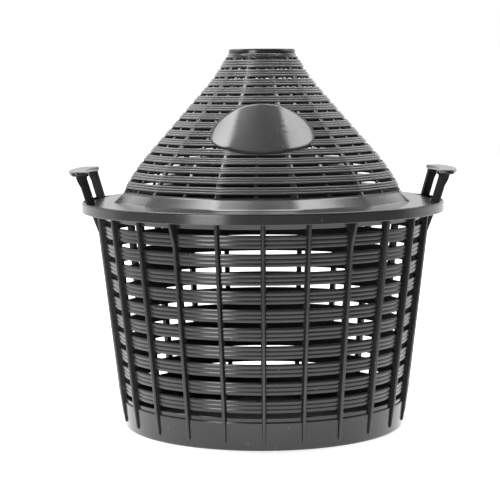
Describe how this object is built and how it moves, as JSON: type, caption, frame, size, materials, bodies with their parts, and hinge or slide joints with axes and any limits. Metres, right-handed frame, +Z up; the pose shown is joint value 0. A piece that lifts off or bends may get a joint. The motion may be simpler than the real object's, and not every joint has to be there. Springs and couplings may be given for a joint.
{
  "type": "demijohn basket",
  "caption": "Slatted plastic tub with two handles and a conical ringed cover that hold and shield a large glass bottle.",
  "frame": {"origin": "middle of the foot, on the surface that the basket stands on", "axes": "+Z up along the basket's axis, +X through the two handles, -Y towards the oval plate at the front"},
  "size_m": [0.4118, 0.385, 0.4],
  "materials": {
    "black_plastic": "satin, as moulded"
  },
  "bodies": {
    "root": {"basket": "black_plastic", "cover": "black_plastic"}
  },
  "joints": []
}
